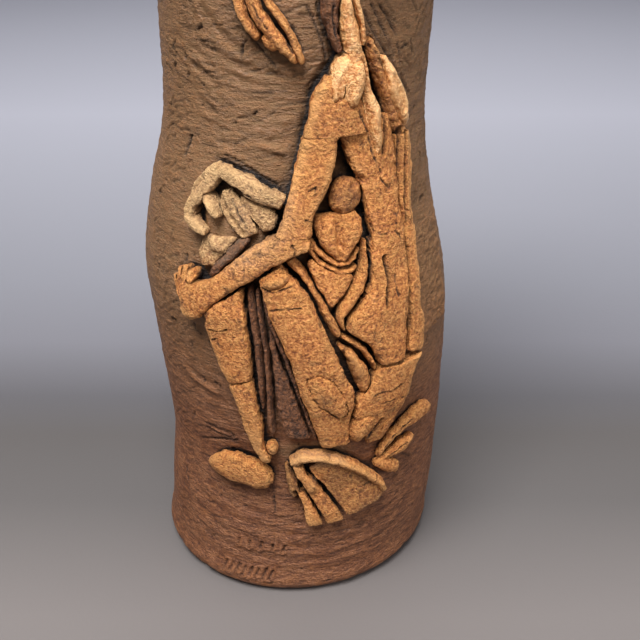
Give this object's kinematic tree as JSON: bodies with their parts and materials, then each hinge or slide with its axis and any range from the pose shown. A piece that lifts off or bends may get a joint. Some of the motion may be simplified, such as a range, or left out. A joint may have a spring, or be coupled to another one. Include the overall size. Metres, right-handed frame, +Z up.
{
  "type": "clay tree of life",
  "caption": "Tall hand-built clay column vase with an applied relief of a seated figure holding a bundle and a child, under hanging strands and leafy branches.",
  "frame": {"origin": "centre of the underside of the base", "axes": "+Z up along the column, -Y out of the front that carries the relief, +X to the right as seen from the front"},
  "size_m": [0.1323, 0.1399, 0.36],
  "materials": {
    "stained_wall": "unglazed brown clay, finger-dragged and stained, matt",
    "ochre_clay": "unglazed ochre terracotta with torn, grogged faces, matt",
    "umber_clay": "unglazed terracotta under a dark brown wash, matt",
    "dusty_clay": "unglazed terracotta under a pale grey dust, matt"
  },
  "bodies": {
    "root": {"body_wall": "stained_wall", "base_slab": "stained_wall", "rim_coil": "stained_wall", "clasp_left": "ochre_clay", "clasp_centre": "ochre_clay", "shoulder_drop": "ochre_clay", "shoulder_slab": "ochre_clay", "upper_arm": "ochre_clay", "finger_front": "ochre_clay", "forearm": "ochre_clay", "hand": "ochre_clay", "far_thumb": "dusty_clay", "far_forearm": "dusty_clay", "far_arm": "dusty_clay", "sleeve_leaf": "umber_clay", "bundle_leaf_wide": "dusty_clay", "bundle_leaf_small": "dusty_clay", "bundle_back": "dusty_clay", "child_head": "ochre_clay", "child_chest": "ochre_clay", "collar_cords": "ochre_clay", "lap_cloth": "ochre_clay", "sling_band": "ochre_clay", "sling_strap": "ochre_clay", "sling_tail_wide": "ochre_clay", "sling_tail_thin": "ochre_clay", "knee_pad": "ochre_clay", "ankle_pad": "ochre_clay", "near_leg": "ochre_clay", "side_leaf": "ochre_clay", "side_band": "ochre_clay", "outer_band": "ochre_clay", "back_slab": "ochre_clay", "seat_slab": "ochre_clay", "heel_pad": "ochre_clay", "heel_leaf": "ochre_clay", "far_shin": "ochre_clay", "far_ankle": "ochre_clay", "fold_long": "umber_clay", "fold_thin": "umber_clay", "fold_broad": "umber_clay", "fold_edge": "umber_clay", "fold_bead": "ochre_clay", "far_foot": "ochre_clay", "foot_rim": "ochre_clay", "foot_toe": "ochre_clay", "foot_heel": "ochre_clay", "foot_middle": "ochre_clay", "foot_sole": "umber_clay", "leaf_large": "ochre_clay", "leaf_pair": "ochre_clay", "trunk_main": "ochre_clay", "trunk_left": "umber_clay", "trunk_thin": "ochre_clay", "strand_main": "ochre_clay", "strand_outer": "ochre_clay", "strand_beaded": "ochre_clay", "crown_middle": "ochre_clay", "crown_left": "ochre_clay", "crown_right": "ochre_clay"}
  },
  "joints": []
}
